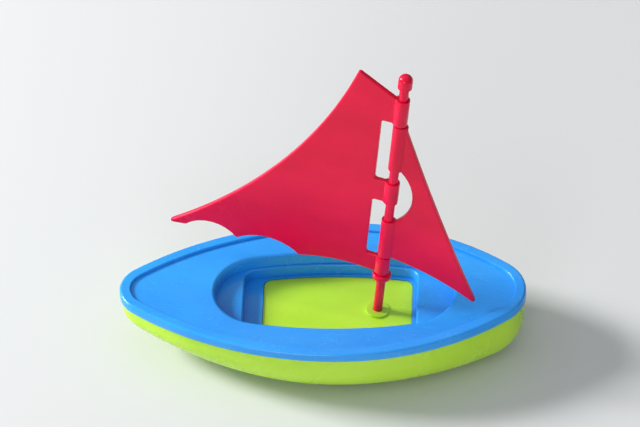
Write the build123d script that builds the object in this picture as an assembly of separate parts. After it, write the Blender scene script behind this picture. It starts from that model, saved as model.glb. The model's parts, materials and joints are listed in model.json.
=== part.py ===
from build123d import *
from math import cos, hypot, radians, sin
import os

# Toy sailing boat, millimetres.  +X points to the bow, +Y to port, +Z up.
# The origin is the middle of the hull's length and beam, on the flat bottom that it stands on.

# ---- hull and deck plan ----
HULL_LENGTH = 130.0
HULL_BEAM = 62.0
BEAM_X = 5.0             # where the hull is widest
BOW_RADIUS = 15.0        # plan radius of the bow, at the deck's edge
STERN_RADIUS = 11.0      # plan radius of the stern, at the deck's edge
HULL_DEPTH = 21.0        # flat bottom to deck plane
TOPSIDE = 4.0            # upright strip of the hull under the deck
HULL_WALL = 1.6

# ---- flat bottom that the hull stands on ----
BOTTOM_LENGTH = 70.0
BOTTOM_WIDTH = 24.0
BOTTOM_X = 7.0           # middle of the flat
BOTTOM_END_RADIUS = 9.0

# ---- how full the bilge is: a higher power is a squarer section ----
BOW_POWER = 3.2
SIDE_POWER = 2.4
STERN_POWER = 1.6
WATERLINES = (0.012, 0.05, 0.12, 0.25, 0.45, 0.7)

LEVEL_TOLERANCE = 0.01   # faces and edges this near a height count as lying at it

# ---- deck moulding ----
DECK_THICKNESS = 2.0
DECK_OVERHANG = 0.6      # how far the deck's edge stands out past the hull
LIP_WIDTH = 3.5
LIP_HEIGHT = 1.0
LIP_ROUND = 0.9          # outer edge of the lip
LIP_INNER_ROUND = 0.4
SKIRT_THICKNESS = 1.2
SKIRT_DEPTH = 3.0
SKIRT_CLEARANCE = 0.15

# ---- cockpit well in the deck ----
WELL_AFT_X = -34.5
WELL_FORE_X = 42.0
WELL_WIDTH = 34.4
WELL_END_RADIUS = 15.0
WELL_WALL = 1.4
WELL_EDGE_ROUND = 1.2
LEDGE_DEPTH = 4.5        # deck plane down to the two end ledges
LEDGE_ROUND = 0.6
SOLE_AFT_X = -25.5       # where the aft ledge drops to the sole
SOLE_FORE_X = 30.0
SOLE_INSET = 0.8         # step in from the well's wall to the sole's wall
SOLE_CORNER = 4.0
FLOOR_DEPTH = 9.0        # deck plane down to the cockpit floor
FLANGE_THICKNESS = 1.4
FLANGE_STEP = 0.6        # the flange stands this far above the floor
WINDOW_AFT_X = -19.5     # opening in the flange that shows the floor
WINDOW_FORE_X = 28.5
WINDOW_INSET = 0.9
WINDOW_CORNER = 3.0

# ---- cockpit floor tray ----
TRAY_THICKNESS = 1.6
TRAY_RIM = 1.2
TRAY_RIM_HEIGHT = 3.0
TRAY_CLEARANCE = 0.15
BOSS_DIAMETER = 7.5
BOSS_COLLAR = 0.8        # boss above the floor
BOSS_FLOOR = 1.2
BOSS_GAP = 3.0           # boss to the inside of the hull's bottom

# ---- mast ----
MAST_DIAMETER = 3.0
MAST_FIT = 0.05          # radial clearance of the mast in its socket and knuckles
MAST_X = 17.3            # mast centre at the cockpit floor
MAST_RAKE = 6.2          # degrees, forward
SAIL_HEIGHT = 12.5       # deck plane up to the sail datum on the mast
MAST_HEAD = 78.0         # sail datum up to the end of the mast rod
COLLAR_DIAMETER = 6.0
COLLAR_HEIGHT = 2.0
COLLAR_ROUND = 0.5
CAP_DIAMETER = 4.6
CAP_HEIGHT = 5.0
CAP_BORE_DEPTH = 3.5
CAP_ROUND = 1.9

# ---- sails, in the rig's plane: s is forward from the mast's axis, t is up it from the sail datum ----
SAIL_TURN = 15.5         # degrees that the sails stand off the keel line, tack to starboard
SAIL_THICKNESS = 1.8
KNUCKLE_DIAMETER = 4.4
KNUCKLE_GAP = 0.6        # between a knuckle of one sail and one of the other
SLOT_S = 6.0             # how deep the mainsail's slots reach from the mast's axis
SLOT_CORNER = 1.2
MAIN_FOOT_T = -4.5
MAIN_FOOT_KNUCKLE = 7.0
MAIN_MID_T = 26.0
MAIN_MID_KNUCKLE = 8.5
MAIN_HEAD_KNUCKLE = 10.2
MAIN_HEAD_T = 69.6
PEAK_S = -15.0
PEAK_T = 77.0
CLEW_S = -72.0
CLEW_T = -7.2
LEECH_HOLLOW = 8.0
CUSP_T = -6.3
CUSPS_S = (-65.5, -48.5, -27.5)
SCALLOP_RISE = 3.8
LAST_SCALLOP_RISE = 1.6
JIB_LOW_KNUCKLE = 15.3
JIB_HIGH_KNUCKLE = 18.5
JIB_SLOT_S = 6.9
TACK_S = 31.8
TACK_T = -7.2
LUFF_HOLLOW = 0.9
JIB_FOOT_ARCH = 1.6
SAIL_CORNER = 0.9

# ---- worked out from the sizes above ----
RIM_Z = HULL_DEPTH - DECK_THICKNESS
FLOOR_Z = HULL_DEPTH - FLOOR_DEPTH
LEDGE_Z = HULL_DEPTH - LEDGE_DEPTH
FLANGE_TOP_Z = FLOOR_Z + FLANGE_STEP
FLANGE_Z = FLANGE_TOP_Z - FLANGE_THICKNESS
TRAY_Z = FLANGE_Z - TRAY_THICKNESS
HALF_LENGTH = HULL_LENGTH / 2
FORE = HALF_LENGTH - BEAM_X
AFT = HALF_LENGTH + BEAM_X
MAST_AXIS = Vector(sin(radians(MAST_RAKE)), 0, cos(radians(MAST_RAKE)))
MAST_FOOT = Vector(MAST_X, 0, FLOOR_Z)
SAIL_DATUM = MAST_FOOT + MAST_AXIS * ((FLOOR_DEPTH + SAIL_HEIGHT) / MAST_AXIS.Z)
SOCKET_END_Z = HULL_WALL + BOSS_GAP
SOCKET_DEPTH = (FLOOR_Z - SOCKET_END_Z) / MAST_AXIS.Z - BOSS_FLOOR
MAIN_FOOT_TOP = MAIN_FOOT_T + MAIN_FOOT_KNUCKLE
MAIN_MID_TOP = MAIN_MID_T + MAIN_MID_KNUCKLE
MAIN_HEAD_LOW = MAIN_HEAD_T - MAIN_HEAD_KNUCKLE
JIB_LOW_T = MAIN_FOOT_TOP + KNUCKLE_GAP
JIB_HIGH_TOP = MAIN_HEAD_LOW - KNUCKLE_GAP
BORE_RADIUS = MAST_DIAMETER / 2 + MAST_FIT


# ---- outlines ----

def half_outline(length, half_beam, end_radius):
    """The side arc's radius and the point where it meets the end arc, from the widest point forward."""
    side = (length**2 - 2 * length * end_radius + half_beam**2) / (2 * (half_beam - end_radius))
    end_x = length - end_radius
    centre_y = half_beam - side
    reach = side / hypot(end_x, centre_y)
    return side, end_x * reach, centre_y * (1 - reach)


def boat_outline(z, fore, aft, half_beam, fore_radius, aft_radius, middle_x):
    """A pointed oval of tangent arcs, widest at middle_x."""
    fore_side, fore_x, fore_y = half_outline(fore, half_beam, fore_radius)
    aft_side, aft_x, aft_y = half_outline(aft, half_beam, aft_radius)

    def point(x, y):
        return Vector(middle_x + x, y, z)

    def side_arc(x0, x1, side, end_y, sign):
        middle = (x0 + x1) / 2
        height = half_beam - side + (side**2 - middle**2) ** 0.5
        start_y = half_beam if x0 == 0 else end_y
        stop_y = half_beam if x1 == 0 else end_y
        return ThreePointArc(point(x0, sign * start_y), point(middle, sign * height), point(x1, sign * stop_y))

    arcs = [
        side_arc(0, fore_x, fore_side, fore_y, 1),
        ThreePointArc(point(fore_x, fore_y), point(fore, 0), point(fore_x, -fore_y)),
        side_arc(fore_x, 0, fore_side, fore_y, -1),
        side_arc(0, -aft_x, aft_side, aft_y, -1),
        ThreePointArc(point(-aft_x, -aft_y), point(-aft, 0), point(-aft_x, aft_y)),
        side_arc(-aft_x, 0, aft_side, aft_y, 1),
    ]
    return Face(Wire(arcs))


def deck_outline(z, inset):
    """The deck's plan, moved in by inset."""
    half_beam = HULL_BEAM / 2 - inset
    return boat_outline(
        z, FORE - inset, AFT - inset, half_beam, BOW_RADIUS - inset, STERN_RADIUS - inset, BEAM_X
    )


def fullness(level, power):
    """How far a waterline has opened out, from 0 at the flat bottom to 1 at full height."""
    return (1 - (1 - level) ** power) ** (1 / power)


def waterline(level, z, inset):
    """The hull's outline between its flat bottom (level 0) and its upright topside (level 1)."""
    edge = DECK_OVERHANG + inset
    bow = fullness(level, BOW_POWER)
    side = fullness(level, SIDE_POWER)
    stern = fullness(level, STERN_POWER)
    flat_fore = BOTTOM_X + BOTTOM_LENGTH / 2 - BEAM_X
    flat_aft = BOTTOM_LENGTH - flat_fore
    flat_half = BOTTOM_WIDTH / 2
    return boat_outline(
        z,
        flat_fore + (FORE - flat_fore) * bow - edge,
        flat_aft + (AFT - flat_aft) * stern - edge,
        flat_half + (HULL_BEAM / 2 - flat_half) * side - edge,
        BOTTOM_END_RADIUS + (BOW_RADIUS - BOTTOM_END_RADIUS) * bow - edge,
        BOTTOM_END_RADIUS + (STERN_RADIUS - BOTTOM_END_RADIUS) * stern - edge,
        BEAM_X,
    )


def well_outline(z, inset):
    """The cockpit well's opening in the deck, moved in by inset."""
    half = (WELL_FORE_X - WELL_AFT_X) / 2 - inset
    middle = (WELL_FORE_X + WELL_AFT_X) / 2
    radius = WELL_END_RADIUS - inset
    return boat_outline(z, half, half, WELL_WIDTH / 2 - inset, radius, radius, middle)


# ---- small helpers ----

def raised(face, height):
    """A prism on a level face."""
    return extrude(face, amount=height, dir=(0, 0, 1))


def slab(aft_x, fore_x, z, height):
    """A block wider than the hull, to cut the cockpit to length."""
    middle = (aft_x + fore_x) / 2
    block = Box(fore_x - aft_x, HULL_BEAM, height, align=(Align.CENTER, Align.CENTER, Align.MIN))
    return Pos(middle, 0, z) * block


def upright_edges(part, x_low, x_high):
    """The vertical edges of a prism between two places along the hull."""
    return part.edges().filter_by(Axis.Z).filter_by_position(Axis.X, x_low, x_high)


def sole_prism(z, height, grow, aft_x, fore_x, corner, inset):
    """The cockpit's lower part: the well's plan cut square at both ends, with rounded corners."""
    prism = raised(well_outline(z, inset - grow), height) & slab(aft_x - grow, fore_x + grow, z, height)
    return fillet(upright_edges(prism, WELL_AFT_X - HULL_LENGTH, WELL_FORE_X + HULL_LENGTH), corner + grow)


def at_height(shapes, z):
    """The faces or edges whose middles lie at a height."""
    return shapes.filter_by_position(Axis.Z, z - LEVEL_TOLERANCE, z + LEVEL_TOLERANCE)


def mast_cylinder(diameter, low, high):
    """A cylinder about the mast's axis, between two heights above the sail datum."""
    base = Plane(origin=SAIL_DATUM + MAST_AXIS * low, z_dir=MAST_AXIS)
    return base * Cylinder(diameter / 2, high - low, align=(Align.CENTER, Align.CENTER, Align.MIN))


# ---- hull ----

def hull_body(inset, bottom):
    """The hull's shape up to the rim, moved in by inset and standing on bottom."""
    top = RIM_Z - TOPSIDE
    levels = (0.0,) + WATERLINES + (1.0,)
    sections = [waterline(level, bottom + level * (top - bottom), inset) for level in levels]
    return loft(sections) + raised(waterline(1.0, top, inset), TOPSIDE)


def make_hull_shell():
    return hull_body(0, 0) - hull_body(HULL_WALL, HULL_WALL)


# ---- deck ----

def make_deck():
    plate = raised(deck_outline(RIM_Z, 0), DECK_THICKNESS + LIP_HEIGHT)
    plate -= raised(deck_outline(HULL_DEPTH, LIP_WIDTH), LIP_HEIGHT)
    plate = fillet(lip_crest(plate).outer_wire().edges(), LIP_ROUND)
    plate = fillet(lip_crest(plate).inner_wires()[0].edges(), LIP_INNER_ROUND)
    skirt_inset = DECK_OVERHANG + HULL_WALL + SKIRT_CLEARANCE
    skirt = raised(deck_outline(RIM_Z - SKIRT_DEPTH, skirt_inset), SKIRT_DEPTH)
    skirt -= raised(deck_outline(RIM_Z - SKIRT_DEPTH, skirt_inset + SKIRT_THICKNESS), SKIRT_DEPTH)
    ledge_under = LEDGE_Z - WELL_WALL
    walls = raised(well_outline(ledge_under, -WELL_WALL), HULL_DEPTH - ledge_under)
    walls += sole_prism(
        FLANGE_Z, LEDGE_Z - FLANGE_Z, WELL_WALL, SOLE_AFT_X, SOLE_FORE_X, SOLE_CORNER, SOLE_INSET
    )
    well = raised(well_outline(LEDGE_Z, 0), HULL_DEPTH - LEDGE_Z)
    sole = sole_prism(
        FLANGE_TOP_Z, LEDGE_Z - FLANGE_TOP_Z, 0, SOLE_AFT_X, SOLE_FORE_X, SOLE_CORNER, SOLE_INSET
    )
    window = sole_prism(
        FLANGE_Z, FLANGE_THICKNESS, 0, WINDOW_AFT_X, WINDOW_FORE_X, WINDOW_CORNER, SOLE_INSET + WINDOW_INSET
    )
    deck = plate + skirt + walls - well - sole - window
    return round_deck_edges(deck)


def lip_crest(plate):
    """The level top of the lip."""
    return at_height(plate.faces(), HULL_DEPTH + LIP_HEIGHT)[0]


def round_deck_edges(deck):
    """Rounds the well's mouth and the edges where the ledges drop to the sole."""
    mouth = at_height(deck.edges(), HULL_DEPTH)
    mouth = mouth.filter_by_position(Axis.X, WELL_AFT_X - WELL_WALL, WELL_FORE_X + WELL_WALL)
    mouth = mouth.filter_by_position(Axis.Y, -WELL_WIDTH / 2, WELL_WIDTH / 2)
    deck = fillet(mouth, WELL_EDGE_ROUND)
    step = at_height(deck.edges(), LEDGE_Z).filter_by(Axis.Y)
    return fillet(step, LEDGE_ROUND)


# ---- cockpit floor ----

def make_cockpit_floor():
    grow = WELL_WALL + TRAY_CLEARANCE
    outer = grow + TRAY_RIM
    height = TRAY_THICKNESS + TRAY_RIM_HEIGHT
    tray = sole_prism(TRAY_Z, height, outer, SOLE_AFT_X, SOLE_FORE_X, SOLE_CORNER, SOLE_INSET)
    tray -= sole_prism(
        FLANGE_Z, TRAY_RIM_HEIGHT, grow, SOLE_AFT_X, SOLE_FORE_X, SOLE_CORNER, SOLE_INSET
    )
    tray += sole_prism(
        FLANGE_Z, FLOOR_Z - FLANGE_Z, -TRAY_CLEARANCE, WINDOW_AFT_X, WINDOW_FORE_X, WINDOW_CORNER,
        SOLE_INSET + WINDOW_INSET
    )
    foot = Plane(origin=MAST_FOOT, z_dir=MAST_AXIS)
    boss_length = SOCKET_DEPTH + BOSS_FLOOR
    top = (Align.CENTER, Align.CENTER, Align.MAX)
    boss = foot * Pos(0, 0, BOSS_COLLAR) * Cylinder(BOSS_DIAMETER / 2, boss_length + BOSS_COLLAR, align=top)
    bore_length = SOCKET_DEPTH + BOSS_COLLAR
    bore = foot * Pos(0, 0, BOSS_COLLAR) * Cylinder(BORE_RADIUS, bore_length, align=top)
    return tray + boss - bore


# ---- mast ----

def make_mast():
    foot = -((SAIL_DATUM - MAST_FOOT).length + SOCKET_DEPTH)
    collar_top = MAIN_FOOT_T - KNUCKLE_GAP / 2
    collar = mast_cylinder(COLLAR_DIAMETER, collar_top - COLLAR_HEIGHT, collar_top)
    collar = fillet(collar.edges().filter_by(GeomType.CIRCLE), COLLAR_ROUND)
    return mast_cylinder(MAST_DIAMETER, foot, MAST_HEAD) + collar


def make_masthead_cap():
    low = MAST_HEAD - CAP_BORE_DEPTH
    cap = mast_cylinder(CAP_DIAMETER, low, low + CAP_HEIGHT)
    crown = cap.edges().filter_by(GeomType.CIRCLE).sort_by(Axis.Z)[-1]
    return fillet(crown, CAP_ROUND) - mast_cylinder(MAST_DIAMETER, low, MAST_HEAD)


# ---- sails ----

def rig_plane():
    """The sails' own frame at rest: x forward from the mast, z up it."""
    forward = Vector(cos(radians(MAST_RAKE)), 0, -sin(radians(MAST_RAKE)))
    return Plane(origin=SAIL_DATUM, x_dir=forward.rotate(Axis((0, 0, 0), MAST_AXIS), -SAIL_TURN), z_dir=MAST_AXIS)


def bowed(start, end, rise):
    """An arc from start to end that stands off their chord by rise, to the left of the way it runs."""
    chord = Vector(*end) - Vector(*start)
    side = Vector(-chord.Y, chord.X).normalized() * rise
    middle = (Vector(*start) + Vector(*end)) * 0.5 + side
    return ThreePointArc(start, middle, end)


def sail_plate(edges, corners):
    """A flat plate from a closed outline in the rig's plane, with its named corners rounded."""
    plate = extrude(Plane.XZ * Face(Wire(edges)), amount=SAIL_THICKNESS / 2, both=True)
    across = plate.edges().filter_by(Axis.Y)
    tips = [across.sort_by_distance((s, 0, t))[0] for s, t in corners]
    return fillet(tips, SAIL_CORNER)


def knuckled(plate, spans):
    """Adds a tube about the mast for each span of heights, and bores the whole sail for the mast."""
    low = (Align.CENTER, Align.CENTER, Align.MIN)
    for bottom, top in spans:
        plate += Pos(0, 0, bottom) * Cylinder(KNUCKLE_DIAMETER / 2, top - bottom, align=low)
    lowest = min(bottom for bottom, _ in spans)
    highest = max(top for _, top in spans)
    plate -= Pos(0, 0, lowest) * Cylinder(BORE_RADIUS, highest - lowest, align=low)
    return rig_plane() * plate


def main_slot(low, high):
    """A slot in the mainsail beside the mast."""
    corner = SLOT_CORNER
    return [
        Line((0, high), (corner - SLOT_S, high)),
        RadiusArc((corner - SLOT_S, high), (-SLOT_S, high - corner), -corner),
        Line((-SLOT_S, high - corner), (-SLOT_S, low + corner)),
        RadiusArc((-SLOT_S, low + corner), (corner - SLOT_S, low), -corner),
        Line((corner - SLOT_S, low), (0, low)),
    ]


def make_mainsail():
    peak = (PEAK_S, PEAK_T)
    clew = (CLEW_S, CLEW_T)
    first_cusp, middle_cusp, last_cusp = ((s, CUSP_T) for s in CUSPS_S)
    knuckle_foot = (-KNUCKLE_DIAMETER / 2, MAIN_FOOT_T)
    knuckle_head = (-KNUCKLE_DIAMETER / 2, MAIN_HEAD_T)
    edges = [
        Line(peak, knuckle_head),
        Line(knuckle_head, (0, MAIN_HEAD_T)),
        Line((0, MAIN_HEAD_T), (0, MAIN_HEAD_LOW)),
        *main_slot(MAIN_MID_TOP, MAIN_HEAD_LOW),
        Line((0, MAIN_MID_TOP), (0, MAIN_MID_T)),
        *main_slot(MAIN_FOOT_TOP, MAIN_MID_T),
        Line((0, MAIN_FOOT_TOP), (0, MAIN_FOOT_T)),
        Line((0, MAIN_FOOT_T), knuckle_foot),
        bowed(knuckle_foot, last_cusp, -LAST_SCALLOP_RISE),
        bowed(last_cusp, middle_cusp, -SCALLOP_RISE),
        bowed(middle_cusp, first_cusp, -SCALLOP_RISE),
        Line(first_cusp, clew),
        bowed(clew, peak, -LEECH_HOLLOW),
    ]
    plate = sail_plate(edges, [peak, clew, middle_cusp, last_cusp])
    spans = [(MAIN_FOOT_T, MAIN_FOOT_TOP), (MAIN_MID_T, MAIN_MID_TOP), (MAIN_HEAD_LOW, MAIN_HEAD_T)]
    return knuckled(plate, spans)


def make_jib():
    low_top = JIB_LOW_T + JIB_LOW_KNUCKLE
    high_low = JIB_HIGH_TOP - JIB_HIGH_KNUCKLE
    tack = (TACK_S, TACK_T)
    head = (KNUCKLE_DIAMETER / 2, JIB_HIGH_TOP)
    foot = (KNUCKLE_DIAMETER / 2, JIB_LOW_T)
    edges = [
        Line((0, JIB_HIGH_TOP), head),
        bowed(head, tack, -LUFF_HOLLOW),
        bowed(tack, foot, -JIB_FOOT_ARCH),
        Line(foot, (0, JIB_LOW_T)),
        Line((0, JIB_LOW_T), (0, low_top)),
        ThreePointArc((0, low_top), (JIB_SLOT_S, (low_top + high_low) / 2), (0, high_low)),
        Line((0, high_low), (0, JIB_HIGH_TOP)),
    ]
    plate = sail_plate(edges, [tack])
    return knuckled(plate, [(JIB_LOW_T, low_top), (high_low, JIB_HIGH_TOP)])


# ---- write one file for each piece ----

PIECES = {
    "hull_shell": make_hull_shell,
    "cockpit_floor": make_cockpit_floor,
    "deck": make_deck,
    "mast": make_mast,
    "masthead_cap": make_masthead_cap,
    "mainsail": make_mainsail,
    "jib": make_jib,
}

os.makedirs("parts", exist_ok=True)
for name, make in PIECES.items():
    piece = make()
    piece.label = name
    export_step(piece, f"parts/{name}.step")
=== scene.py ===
import bpy
import bmesh
import json
from math import atan2, cos, pi, radians, sin, tan
from mathutils import Matrix, Vector


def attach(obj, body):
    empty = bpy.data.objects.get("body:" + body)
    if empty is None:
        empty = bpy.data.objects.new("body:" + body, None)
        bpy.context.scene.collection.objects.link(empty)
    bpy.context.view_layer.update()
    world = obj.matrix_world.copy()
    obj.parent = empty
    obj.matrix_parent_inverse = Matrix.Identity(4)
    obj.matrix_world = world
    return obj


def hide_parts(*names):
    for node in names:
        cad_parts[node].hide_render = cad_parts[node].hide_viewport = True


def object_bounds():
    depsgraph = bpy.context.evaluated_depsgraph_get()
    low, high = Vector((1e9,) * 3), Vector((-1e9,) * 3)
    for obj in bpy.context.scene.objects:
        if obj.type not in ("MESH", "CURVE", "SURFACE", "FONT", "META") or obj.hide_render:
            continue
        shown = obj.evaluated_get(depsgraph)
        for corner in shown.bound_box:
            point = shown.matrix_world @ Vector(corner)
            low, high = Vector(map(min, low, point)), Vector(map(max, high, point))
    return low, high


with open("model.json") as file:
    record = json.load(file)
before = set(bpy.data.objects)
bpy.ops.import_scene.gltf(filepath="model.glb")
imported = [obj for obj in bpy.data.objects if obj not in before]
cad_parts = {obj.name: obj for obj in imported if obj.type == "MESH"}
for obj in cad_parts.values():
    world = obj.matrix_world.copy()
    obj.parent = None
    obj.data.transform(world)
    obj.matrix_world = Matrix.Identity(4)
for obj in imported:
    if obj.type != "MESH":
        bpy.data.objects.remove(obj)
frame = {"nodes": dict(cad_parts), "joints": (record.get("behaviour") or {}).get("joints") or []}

cad_low, cad_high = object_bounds()


# ---------------------------------------------------------------- hull
# The hull is one thin shell of lime plastic: a pointed oval under the deck that closes down through a round
# bilge to a small flat bottom.  Its form is a rule, so nodes wrap a grid on it.

class Flow:
    """A socket that takes part in sums: each operator adds the Math node that does it."""

    def __init__(self, tree, socket=None):
        self.tree, self.socket = tree, socket

    def add(self, kind, settings=None, values=None, output=0):
        """A node of that kind: its settings first, then the values or links of its sockets."""
        node = self.tree.nodes.new(kind)
        for name, value in (settings or {}).items():
            if name == "stops":
                for stop, (place, shade) in zip(node.color_ramp.elements, value):
                    stop.position, stop.color = place, shade
            else:
                setattr(node, name, value)
        for key, value in (values or {}).items():
            if isinstance(value, Flow):
                self.tree.links.new(value.socket, node.inputs[key])
            else:
                node.inputs[key].default_value = value
        return Flow(self.tree, node.outputs[output])

    def out(self, name):
        return Flow(self.tree, self.socket.node.outputs[name])

    def math(self, operation, *values, clamp=False):
        settings = {"operation": operation, "use_clamp": clamp}
        return self.add("ShaderNodeMath", settings, dict(enumerate(values)))

    def __add__(self, other):
        return self.math("ADD", self, other)

    def __radd__(self, other):
        return self.math("ADD", other, self)

    def __sub__(self, other):
        return self.math("SUBTRACT", self, other)

    def __rsub__(self, other):
        return self.math("SUBTRACT", other, self)

    def __mul__(self, other):
        return self.math("MULTIPLY", self, other)

    def __rmul__(self, other):
        return self.math("MULTIPLY", other, self)

    def __truediv__(self, other):
        return self.math("DIVIDE", self, other)

    def __rtruediv__(self, other):
        return self.math("DIVIDE", other, self)

    def __pow__(self, other):
        return self.math("POWER", self, other)

    def __gt__(self, other):
        return self.math("GREATER_THAN", self, other)

    def __lt__(self, other):
        return self.math("LESS_THAN", self, other)

    def __abs__(self):
        return self.math("ABSOLUTE", self)

    def clamped(self):
        return self.math("ADD", self, 0.0, clamp=True)


def moulded_plastic(name, colour, deep, pale, gloss, sheen, see_through):
    """Glossy moulded plastic: pigment swirls, a fine skin from the mould, rubbed patches and hairlines."""
    plastic = bpy.data.materials.new(name)
    plastic.use_nodes = True
    plastic.node_tree.nodes.clear()
    flow = Flow(plastic.node_tree)
    place = flow.add("ShaderNodeTexCoord", output="Object")

    def cloud(scale, detail=3.0, stretch=(1, 1, 1), turn=0.0, rough=0.5, tilt=0.0):
        mapping = {"Vector": place, "Scale": stretch, "Rotation": (0, tilt, turn)}
        laid = flow.add("ShaderNodeMapping", {}, mapping)
        values = {"Vector": laid, "Scale": scale, "Detail": detail, "Roughness": rough}
        return flow.add("ShaderNodeTexNoise", {}, values, "Fac")

    def hairline(turn, tilt):
        """Short straight scuffs, a few millimetres long and hair-thin, all lying one way."""
        return ((cloud(110, 1.0, (1, 70, 70), turn, tilt=tilt) - 0.70) * 12).clamped()

    swirl = cloud(26, 4.0, (1, 2.2, 2.2), 0.5)
    patch = cloud(11, 2.0)
    rubbed = ((cloud(130, 5.0, rough=0.7) - 0.58) * 6).clamped()
    hairlines = hairline(0.35, 0.2) + hairline(2.1, -0.5) + hairline(1.2, 0.9)
    scratch = hairlines.clamped() * (cloud(35, 1.0) > 0.5)
    stops = {"stops": [(0.34, deep), (0.66, colour)]}
    tint = flow.add("ShaderNodeValToRGB", stops, {"Fac": swirl}, "Color")
    worn = {"Factor": rubbed * 0.04 + scratch * 0.18, "A": tint, "B": pale}
    tint = flow.add("ShaderNodeMix", {"data_type": "RGBA"}, worn, 2)
    peel = cloud(620, 2.0)
    grain = cloud(3600, 2.0)
    sink = cloud(60, 1.0)
    height = peel * 0.35 + grain * 0.05 + sink * 1.1 - scratch * 0.4
    relief = {"Height": height, "Strength": 0.5, "Distance": 0.00005}
    skin = flow.add("ShaderNodeBump", {}, relief, "Normal")
    dull = gloss + patch * 0.12 + rubbed * 0.12 + scratch * 0.2
    values = {
        "Base Color": tint, "Roughness": dull.clamped(), "Normal": skin, "IOR": 1.5,
        "Specular IOR Level": sheen, "Subsurface Weight": see_through, "Subsurface Radius": (1.0, 1.0, 1.0),
        "Subsurface Scale": 0.0022,
    }
    body = flow.add("ShaderNodeBsdfPrincipled", {"subsurface_method": "RANDOM_WALK"}, values, "BSDF")
    end = plastic.node_tree.nodes.new("ShaderNodeOutputMaterial")
    plastic.node_tree.links.new(body.socket, end.inputs["Surface"])
    return plastic


def grown(name, sizes, plastic, build, start=None):
    """A plain mesh from a Geometry Nodes tree that takes these named sizes and ends in its material."""
    tree = bpy.data.node_groups.new(name + "_rule", "GeometryNodeTree")
    tree.interface.new_socket("Start", in_out="INPUT", socket_type="NodeSocketGeometry")
    kinds = {**{label: "NodeSocketFloat" for label in sizes}, "Plastic": "NodeSocketMaterial"}
    sockets = {
        label: tree.interface.new_socket(label, in_out="INPUT", socket_type=kind)
        for label, kind in kinds.items()
    }
    tree.interface.new_socket("Piece", in_out="OUTPUT", socket_type="NodeSocketGeometry")
    given = tree.nodes.new("NodeGroupInput")
    flow = Flow(tree)
    size = {label: Flow(tree, given.outputs[label]) for label in sizes}
    made = build(flow, Flow(tree, given.outputs["Start"]), size)
    made = flow.add("GeometryNodeRealizeInstances", {}, {"Geometry": made})
    coated = {"Geometry": made, "Material": Flow(tree, given.outputs["Plastic"])}
    made = flow.add("GeometryNodeSetMaterial", {}, coated)
    end = tree.nodes.new("NodeGroupOutput")
    tree.links.new(made.socket, end.inputs["Piece"])
    piece = bpy.data.objects.new(name, start or bpy.data.meshes.new(name + "_start"))
    bpy.context.scene.collection.objects.link(piece)
    rule = piece.modifiers.new(name + "_rule", "NODES")
    rule.node_group = tree
    for label, value in {**sizes, "Plastic": plastic}.items():
        rule[sockets[label].identifier] = value
    depsgraph = bpy.context.evaluated_depsgraph_get()
    finished = bpy.data.meshes.new_from_object(piece.evaluated_get(depsgraph), depsgraph=depsgraph)
    piece.modifiers.clear()
    piece.data = finished
    return piece


def hull_rule(flow, start, size):
    """Wraps a grid: round the hull by its length, and from the flat bottom over the rim and down inside."""
    end_share, rim_share, flat_share, topside_share = 0.36, 1.03, 0.12, 0.12
    around, upward, level_spacing = 257, 105, 2.4
    grid = {"Size X": 4.0, "Size Y": 2.0, "Vertices X": around, "Vertices Y": upward}
    grid = flow.add("GeometryNodeMeshGrid", {}, grid, "Mesh")
    place = flow.add("ShaderNodeSeparateXYZ", {}, {0: flow.add("GeometryNodeInputPosition")}, "X")
    turn = place + 2.0
    climb = place.out("Y") + 1.0
    inside = climb > 1.0 + 1e-4
    up = ((1.0 - abs(climb - 1.0)) * rim_share).clamped()
    spread = (up / flat_share).clamped()
    level = ((up - flat_share) / (1.0 - flat_share - topside_share)).clamped() ** level_spacing
    rise = ((up - 1.0 + topside_share) / topside_share).clamped()
    edge = size["Overhang"] + inside * size["Wall"]
    floor = inside * size["Wall"]
    z = floor + level * (size["Rim height"] - size["Topside"] - floor) + rise * size["Topside"]

    def fullness(power):
        return (1.0 - (1.0 - level) ** size[power]) ** (1.0 / size[power])

    bow, side, stern = fullness("Bow power"), fullness("Side power"), fullness("Stern power")
    fore = abs(turn - 2.0) > 1.0
    aft = 1.0 - fore
    end_full = fore * bow + aft * stern
    flat = fore * size["Flat fore"] + aft * size["Flat aft"]
    reach = flat + (fore * size["Fore"] + aft * size["Aft"] - flat) * end_full - edge
    nose = fore * size["Bow radius"] + aft * size["Stern radius"]
    nose = size["Flat end radius"] + (nose - size["Flat end radius"]) * end_full - edge
    half = size["Flat half width"] + (size["Half beam"] - size["Flat half width"]) * side - edge
    flank = (reach * reach - 2.0 * reach * nose + half * half) / (2.0 * (half - nose))
    meet = flow.math("ARCTAN2", flank - half, reach - nose)
    along = 1.0 - abs(1.0 - flow.math("MODULO", turn, 2.0))
    on_nose = along < end_share
    swing = on_nose * meet * along / end_share
    swing = swing + (1.0 - on_nose) * (meet + (pi / 2 - meet) * (along - end_share) / (1.0 - end_share))
    c, s = flow.math("COSINE", swing), flow.math("SINE", swing)
    x = on_nose * (reach - nose + nose * c) + (1.0 - on_nose) * flank * c
    y = on_nose * nose * s + (1.0 - on_nose) * (half - flank + flank * s)
    x = size["Beam place"] + (fore - aft) * x * spread
    y = (1.0 - 2.0 * (turn > 2.0)) * y * spread
    spot = flow.add("ShaderNodeCombineXYZ", {}, {"X": x, "Y": y, "Z": z})
    skin = flow.add("GeometryNodeSetPosition", {}, {"Geometry": grid, "Position": spot})
    skin = flow.add("GeometryNodeMergeByDistance", {}, {"Geometry": skin, "Distance": 2e-6})
    return flow.add("GeometryNodeSetShadeSmooth", {}, {0: skin})


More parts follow.
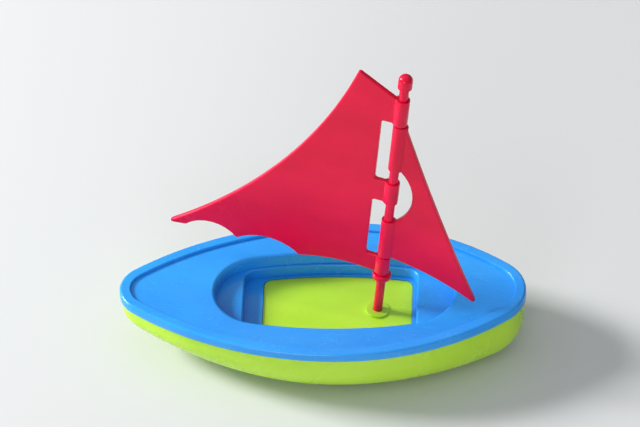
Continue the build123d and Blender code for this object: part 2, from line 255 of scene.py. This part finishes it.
lime = moulded_plastic(
    "lime_moulding", colour=(0.52, 0.83, 0.045, 1), deep=(0.43, 0.76, 0.03, 1), pale=(0.80, 0.93, 0.35, 1),
    gloss=0.20, sheen=0.5, see_through=0.30
)
hull_sizes = {
    "Fore": 0.060, "Aft": 0.070, "Half beam": 0.031, "Beam place": 0.005, "Bow radius": 0.015,
    "Stern radius": 0.011, "Rim height": 0.019, "Topside": 0.004, "Overhang": 0.0006, "Wall": 0.0016,
    "Flat fore": 0.037, "Flat aft": 0.033, "Flat half width": 0.012, "Flat end radius": 0.009,
    "Bow power": 3.2, "Side power": 2.4, "Stern power": 1.6,
}
hull = grown("hull_moulding", hull_sizes, lime, hull_rule)
hull.data.set_sharp_from_angle(angle=radians(40))
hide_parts("hull_shell")
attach(hull, "hull")


# ---------------------------------------------------------------- cockpit floor
# A lime tray under the deck's well, with the socket for the mast moulded in it.  It keeps its CAD shape.

floor_tray = frame["nodes"]["cockpit_floor"]
floor_tray.data.materials.clear()
floor_tray.data.materials.append(lime)


# ---------------------------------------------------------------- deck
# One blue moulding with the raised lip, the cockpit well and its two ledges.  It keeps its CAD shape.

blue = moulded_plastic(
    "blue_moulding", colour=(0.026, 0.36, 0.93, 1), deep=(0.016, 0.30, 0.88, 1), pale=(0.30, 0.66, 1.0, 1),
    gloss=0.20, sheen=0.5, see_through=0.14
)
deck = frame["nodes"]["deck"]
deck.data.materials.clear()
deck.data.materials.append(blue)


# ---------------------------------------------------------------- mast and its cap
# The mast is a turned-looking red rod with a collar that carries the sails, pushed into its socket.  The cap
# is a small blunt thimble pressed over its end.  Both are rings of points about the mast's own axis.

red = moulded_plastic(
    "red_moulding", colour=(0.87, 0.003, 0.058, 1), deep=(0.75, 0.001, 0.044, 1), pale=(0.95, 0.16, 0.24, 1),
    gloss=0.22, sheen=0.3, see_through=0.25
)
pivot = next(joint for joint in frame["joints"] if joint["name"] == "mainsail_turn")
mast_up = Vector(pivot["axis"]).normalized()
mast_fore = Vector((mast_up.z, 0, -mast_up.x))
sail_turn = radians(15.5)
sail_fore = Matrix.Rotation(-sail_turn, 3, mast_up) @ mast_fore
rig_axes = Matrix((sail_fore, mast_up.cross(sail_fore), mast_up)).transposed()
rig = Matrix.Translation(pivot["pos_m"]) @ rig_axes.to_4x4()
MILLIMETRE = 0.001


def turned(name, profile, sides):
    """A closed round piece about the mast's axis from its profile of radius and height, in millimetres."""
    mesh = bmesh.new()
    rings = []
    for radius, height in profile:
        if radius == 0:
            rings.append([mesh.verts.new((0, 0, height))])
        else:
            angles = [2 * pi * k / sides for k in range(sides)]
            rings.append([mesh.verts.new((radius * cos(a), radius * sin(a), height)) for a in angles])
    for low, high in zip(rings, rings[1:]):
        for k in range(sides):
            lower = [low[k % len(low)], low[(k + 1) % len(low)]]
            upper = [high[(k + 1) % len(high)], high[k % len(high)]]
            mesh.faces.new(list(dict.fromkeys(lower + upper)))
    piece = bpy.data.objects.new(name, bpy.data.meshes.new(name))
    bmesh.ops.recalc_face_normals(mesh, faces=mesh.faces)
    mesh.to_mesh(piece.data)
    mesh.free()
    piece.data.transform(rig @ Matrix.Scale(MILLIMETRE, 4))
    piece.data.shade_smooth()
    piece.data.set_sharp_from_angle(angle=radians(38))
    piece.data.materials.append(red)
    bpy.context.scene.collection.objects.link(piece)
    return piece


def rounded_step(radius_in, radius_out, low, high, soft, steps=5):
    """A disc's profile with its two outer edges rounded."""
    turns = [k * pi / 2 / steps for k in range(steps + 1)]
    under = [(radius_out - soft + soft * sin(a), low + soft - soft * cos(a)) for a in turns]
    over = [(r, low + high - h) for r, h in reversed(under)]
    return [(radius_in, low), *under, *over, (radius_in, high)]


# Heights are millimetres up the mast's axis from the sails' datum.
MAST_FOOT, MAST_HEAD, MAST_RADIUS = -27.87, 78.0, 1.5
FOOT_CHAMFER, HEAD_CHAMFER = 0.4, 0.3
COLLAR_RADIUS, COLLAR_LOW, COLLAR_HIGH, COLLAR_ROUND = 3.0, -6.8, -4.8, 0.5
ROUND_SIDES = 64
mast = turned("mast_rod", [
    (0, MAST_FOOT), (MAST_RADIUS - FOOT_CHAMFER, MAST_FOOT), (MAST_RADIUS, MAST_FOOT + FOOT_CHAMFER),
    *rounded_step(MAST_RADIUS, COLLAR_RADIUS, COLLAR_LOW, COLLAR_HIGH, COLLAR_ROUND),
    (MAST_RADIUS, MAST_HEAD - HEAD_CHAMFER), (MAST_RADIUS - HEAD_CHAMFER, MAST_HEAD), (0, MAST_HEAD),
], ROUND_SIDES)
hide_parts("mast")
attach(mast, "mast")

CAP_LOW, CAP_HEIGHT, CAP_RADIUS, CAP_ROUND, CAP_BORE = 74.5, 5.0, 2.3, 1.9, 3.5
CAP_MOUTH, CAP_RIM = 0.15, 0.2
cap_top = CAP_LOW + CAP_HEIGHT
crown_turns = [k * pi / 16 for k in range(9)]
crown = [
    (CAP_RADIUS - CAP_ROUND + CAP_ROUND * cos(a), cap_top - CAP_ROUND + CAP_ROUND * sin(a))
    for a in crown_turns
]
cap = turned("masthead_thimble", [
    (0, CAP_LOW + CAP_BORE), (MAST_RADIUS, CAP_LOW + CAP_BORE), (MAST_RADIUS, CAP_LOW + CAP_MOUTH),
    (MAST_RADIUS + CAP_MOUTH, CAP_LOW), (CAP_RADIUS - CAP_RIM, CAP_LOW), (CAP_RADIUS, CAP_LOW + CAP_RIM),
    *crown, (0, cap_top),
], ROUND_SIDES)
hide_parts("masthead_cap")
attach(cap, "mast")


# ---------------------------------------------------------------- mainsail
# A flat red plate with a hollow back edge and a scalloped foot, hung on the mast by three knuckles that are
# moulded in one with it.  Points are in millimetres aft or forward of the mast's axis and up it.

def outline(corners):
    """Points round a plate.  A corner is its place, how round it is, and how far the next edge bows left."""
    corner_steps, closest = 7, 0.02
    runs = []
    for k, (start, _, bow) in enumerate(corners):
        stop = corners[(k + 1) % len(corners)][0]
        start, stop = Vector(start), Vector(stop)
        half, middle = (stop - start) / 2, (start + stop) / 2
        left = Vector((-half.y, half.x)).normalized()
        if bow == 0:
            runs.append([start, stop])
            continue
        swing = 2 * atan2(abs(bow), half.length)
        steps = max(8, round(half.length))
        angles = [swing * (2 * n / steps - 1) for n in range(steps + 1)]
        runs.append([
            middle + half * (sin(a) / sin(swing)) + left * bow * (cos(a) - cos(swing)) / (1 - cos(swing))
            for a in angles
        ])
    for k, (_, softness, _) in enumerate(corners):
        if softness:
            before, after = runs[k - 1], runs[k]
            into, out_of = (before[-1] - before[-2]).normalized(), (after[1] - after[0]).normalized()
            half_angle = (pi - into.angle(out_of)) / 2
            setback = softness / tan(half_angle)
            runs[k - 1] = trimmed(before[::-1], setback)[::-1]
            runs[k] = trimmed(after, setback)
    points = []
    for k, run in enumerate(runs):
        corner, softness, _ = corners[k]
        if softness:
            a, b, c = runs[k - 1][-1], Vector(corner), run[0]
            shares = [q / corner_steps for q in range(1, corner_steps)]
            points += [a * (1 - n) ** 2 + b * 2 * n * (1 - n) + c * n * n for n in shares]
        points += run
    return [point for k, point in enumerate(points) if (point - points[k - 1]).length > closest]


def trimmed(run, distance):
    """A run of points without its first stretch of that length."""
    for k in range(len(run) - 1):
        step = (run[k + 1] - run[k]).length
        if step > distance:
            return [run[k].lerp(run[k + 1], distance / step), *run[k + 1:]]
        distance -= step
    return run[-1:]


def sail_plate(name, corners, thickness, soft_edge):
    """A flat plate with rounded rims, from its outline in the sails' own plane."""
    mesh = bmesh.new()
    points = outline(corners)
    rims = [[mesh.verts.new((p.x, side * thickness / 2, p.y)) for p in points] for side in (-1, 1)]
    mesh.faces.new(rims[0])
    mesh.faces.new(rims[1][::-1])
    for k in range(len(points)):
        mesh.faces.new([rims[0][k], rims[1][k], rims[1][k - 1], rims[0][k - 1]])
    bmesh.ops.recalc_face_normals(mesh, faces=mesh.faces)
    piece = bpy.data.objects.new(name, bpy.data.meshes.new(name))
    mesh.to_mesh(piece.data)
    mesh.free()
    piece.data.transform(rig @ Matrix.Scale(MILLIMETRE, 4))
    piece.data.shade_smooth()
    piece.data.materials.append(red)
    bpy.context.scene.collection.objects.link(piece)
    bevel = piece.modifiers.new("moulded_rim", "BEVEL")
    bevel.width = soft_edge * MILLIMETRE
    bevel.segments = 4
    bevel.limit_method = "ANGLE"
    bevel.angle_limit = radians(40)
    bevel.use_clamp_overlap = False
    bevel.harden_normals = True
    return piece


def knuckle_rule(flow, start, size):
    """A ring with a web towards its sail, set at each knuckle's middle and drawn out to its length."""
    web_narrowness, squareness = 6.0, 0.3
    around, section = 65, 21
    grid = {"Size X": 2 * pi, "Size Y": 2 * pi, "Vertices X": around, "Vertices Y": section}
    grid = flow.add("GeometryNodeMeshGrid", {}, grid, "Mesh")
    place = flow.add("ShaderNodeSeparateXYZ", {}, {0: flow.add("GeometryNodeInputPosition")}, "X")
    swing, loop = place, place.out("Y") + pi / (section - 1)
    facing = flow.math("MAXIMUM", flow.math("COSINE", swing), 0.0)
    outer = size["Tube radius"] + size["Web"] * facing ** web_narrowness
    across, along = flow.math("COSINE", loop), flow.math("SINE", loop)
    end = flow.math("SIGN", along)
    thick = (outer - size["Bore radius"]) / 2
    radius = size["Bore radius"] + thick + thick * flow.math("SIGN", across) * abs(across) ** squareness
    spot = {
        "X": size["Sail side"] * radius * flow.math("COSINE", swing),
        "Y": size["Sail side"] * radius * flow.math("SINE", swing),
        "Z": end * size["Edge"] * (abs(along) ** squareness - 1.0),
    }
    spot = flow.add("ShaderNodeCombineXYZ", {}, spot)
    marked = flow.add("GeometryNodeStoreNamedAttribute", {}, {"Geometry": grid, "Name": "end", "Value": end})
    ring = flow.add("GeometryNodeSetPosition", {}, {"Geometry": marked, "Position": spot})
    ring = flow.add("GeometryNodeMergeByDistance", {}, {"Geometry": ring, "Distance": 1e-6})
    rings = flow.add("GeometryNodeInstanceOnPoints", {}, {"Points": start, "Instance": ring})
    rings = flow.add("GeometryNodeRealizeInstances", {}, {"Geometry": rings})
    end = flow.add("GeometryNodeInputNamedAttribute", {}, {"Name": "end"})
    span = flow.add("GeometryNodeInputNamedAttribute", {}, {"Name": "span"})
    drawn = flow.add("ShaderNodeCombineXYZ", {}, {"Z": end * span / 2.0})
    rings = flow.add("GeometryNodeSetPosition", {}, {"Geometry": rings, "Offset": drawn})
    return flow.add("GeometryNodeSetShadeSmooth", {}, {0: rings})


def sail_knuckles(name, spans, sail_side):
    """The tubes of one sail, each from its low end to its high end in millimetres up the mast."""
    middles = bpy.data.meshes.new(name + "_middles")
    middles.from_pydata([(0, 0, (low + high) / 2000) for low, high in spans], [], [])
    lengths = middles.attributes.new("span", "FLOAT", "POINT")
    lengths.data.foreach_set("value", [(high - low) / 1000 for low, high in spans])
    sizes = {
        "Tube radius": 0.0022, "Bore radius": 0.00155, "Web": 0.0006, "Edge": 0.0003, "Sail side": sail_side,
    }
    tubes = grown(name, sizes, red, knuckle_rule, middles)
    tubes.data.transform(rig)
    tubes.data.set_sharp_from_angle(angle=radians(50))
    return tubes


INSIDE_KNUCKLE = 1.9     # the plates end in the knuckles' walls, clear of the bore
SAIL_THICKNESS, SAIL_RIM, SAIL_CORNER = 1.8, 0.45, 0.9
SLOT_DEPTH, SLOT_CORNER = 6.0, 1.2
MAIN_FOOT, MAIN_MIDDLE, MAIN_HEAD = (-4.5, 2.5), (26.0, 34.5), (59.4, 69.6)
HEAD_CORNER = 69.5       # the slanting head meets the mast just under the top knuckle's end
SCALLOP = -3.8
main_corners = [((-15.0, 77.0), SAIL_CORNER, 0), ((-INSIDE_KNUCKLE, HEAD_CORNER), 0, 0)]
for slot_top, slot_low in ((MAIN_HEAD[0], MAIN_MIDDLE[1]), (MAIN_MIDDLE[0], MAIN_FOOT[1])):
    main_corners += [
        ((-INSIDE_KNUCKLE, slot_top), 0, 0), ((-SLOT_DEPTH, slot_top), SLOT_CORNER, 0),
        ((-SLOT_DEPTH, slot_low), SLOT_CORNER, 0), ((-INSIDE_KNUCKLE, slot_low), 0, 0),
    ]
main_corners += [
    ((-INSIDE_KNUCKLE, MAIN_FOOT[0]), 0, -1.6), ((-27.5, -6.3), SAIL_CORNER, SCALLOP),
    ((-48.5, -6.3), SAIL_CORNER, SCALLOP), ((-65.5, -6.3), 0.4, 0), ((-72.0, -7.2), SAIL_CORNER, -8.0),
]
mainsail = sail_plate("mainsail_plate", main_corners, SAIL_THICKNESS, SAIL_RIM)
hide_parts("mainsail")
main_tubes = sail_knuckles("mainsail_knuckles", [MAIN_FOOT, MAIN_MIDDLE, MAIN_HEAD], -1.0)
for piece in (mainsail, main_tubes):
    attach(piece, "mainsail")


# ---------------------------------------------------------------- jib
# The narrow red plate forward of the mast, on two knuckles that fill the gaps between the mainsail's three.

JIB_LOW, JIB_HIGH = (3.1, 18.4), (40.3, 58.8)
jib_corners = [
    ((INSIDE_KNUCKLE, JIB_HIGH[1]), 0, -0.9), ((31.8, -7.2), SAIL_CORNER, -1.6),
    ((INSIDE_KNUCKLE, JIB_LOW[0]), 0, 0), ((INSIDE_KNUCKLE, JIB_LOW[1]), 0, -5.0),
    ((INSIDE_KNUCKLE, JIB_HIGH[0]), 0, 0),
]
jib = sail_plate("jib_plate", jib_corners, SAIL_THICKNESS, SAIL_RIM)
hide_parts("jib")
jib_tubes = sail_knuckles("jib_knuckles", [JIB_LOW, JIB_HIGH], 1.0)
for piece in (jib, jib_tubes):
    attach(piece, "jib")


# ---------------------------------------------------------------- table, light and camera
# A plain pale table top, a window light high on the left, a weak low one in front, a wide ceiling light, and
# a long lens above the boat's starboard side.

table_mesh = bpy.data.meshes.new("table_top")
TABLE_RADIUS, TABLE_SIDES = 1.5, 120
table_turns = [2 * pi * k / TABLE_SIDES for k in range(TABLE_SIDES)]
table_rim = [(TABLE_RADIUS * cos(a), TABLE_RADIUS * sin(a), 0) for a in table_turns]
table_mesh.from_pydata(table_rim, [], [range(TABLE_SIDES)])
table_top = bpy.data.objects.new("table_top", table_mesh)
bpy.context.scene.collection.objects.link(table_top)
table_paint = bpy.data.materials.new("pale_table")
table_paint.use_nodes = True
table_shader = table_paint.node_tree.nodes["Principled BSDF"]
table_shader.inputs["Base Color"].default_value = (0.66, 0.67, 0.68, 1)
table_shader.inputs["Roughness"].default_value = 0.8
table_shader.inputs["Specular IOR Level"].default_value = 0.0
table_mesh.materials.append(table_paint)

room = bpy.data.worlds.new("room")
bpy.context.scene.world = room
room.use_nodes = True
room.node_tree.nodes.clear()
walls = Flow(room.node_tree)
seen = walls.add("ShaderNodeBackground", {}, {"Color": (0.90, 0.92, 0.94, 1), "Strength": 0.86}, "Background")
felt = walls.add("ShaderNodeBackground", {}, {"Color": (0.90, 0.95, 1.0, 1), "Strength": 0.16}, "Background")
looking = walls.add("ShaderNodeLightPath", output="Is Camera Ray")
mixed = walls.add("ShaderNodeMixShader", {}, {"Fac": looking, 1: felt, 2: seen}, "Shader")
far_side = room.node_tree.nodes.new("ShaderNodeOutputWorld")
room.node_tree.links.new(mixed.socket, far_side.inputs["Surface"])

middle = (cad_low + cad_high) / 2


def soft_light(name, place, size, power, colour):
    light = bpy.data.lights.new(name, "AREA")
    light.shape = "RECTANGLE"
    light.size, light.size_y = size
    light.energy = power
    light.color = colour
    lamp = bpy.data.objects.new(name, light)
    lamp.location = place
    lamp.rotation_euler = (middle - Vector(place)).to_track_quat("-Z", "Y").to_euler()
    lamp.visible_camera = False
    bpy.context.scene.collection.objects.link(lamp)


soft_light("window_light", (-1.25, 0.30, 0.72), (0.40, 0.40), 31, (1.0, 0.99, 0.97))
soft_light("front_light", (-0.4, -1.6, 0.45), (0.8, 0.5), 9, (1.0, 1.0, 1.0))
soft_light("ceiling_light", (0.0, 0.0, 3.2), (8.0, 8.0), 85, (0.97, 0.99, 1.0))

camera_data = bpy.data.cameras.new("camera")
camera_data.lens = 372
camera_data.sensor_width = 36
camera_data.clip_start, camera_data.clip_end = 0.05, 30
camera = bpy.data.objects.new("camera", camera_data)
azimuth, elevation, distance, level_hull = radians(3.0), radians(42.9), 2.09, radians(-2.0)
back = Vector((sin(azimuth) * cos(elevation), -cos(azimuth) * cos(elevation), sin(elevation)))
aim = middle + Vector((0, 0, -0.002))
camera.location = aim + back * distance
turn = (-back).to_track_quat("-Z", "Y").to_matrix() @ Matrix.Rotation(level_hull, 3, "Z")
camera.rotation_euler = turn.to_euler()
bpy.context.scene.collection.objects.link(camera)
bpy.context.scene.camera = camera
bpy.context.scene.view_settings.view_transform = "Standard"
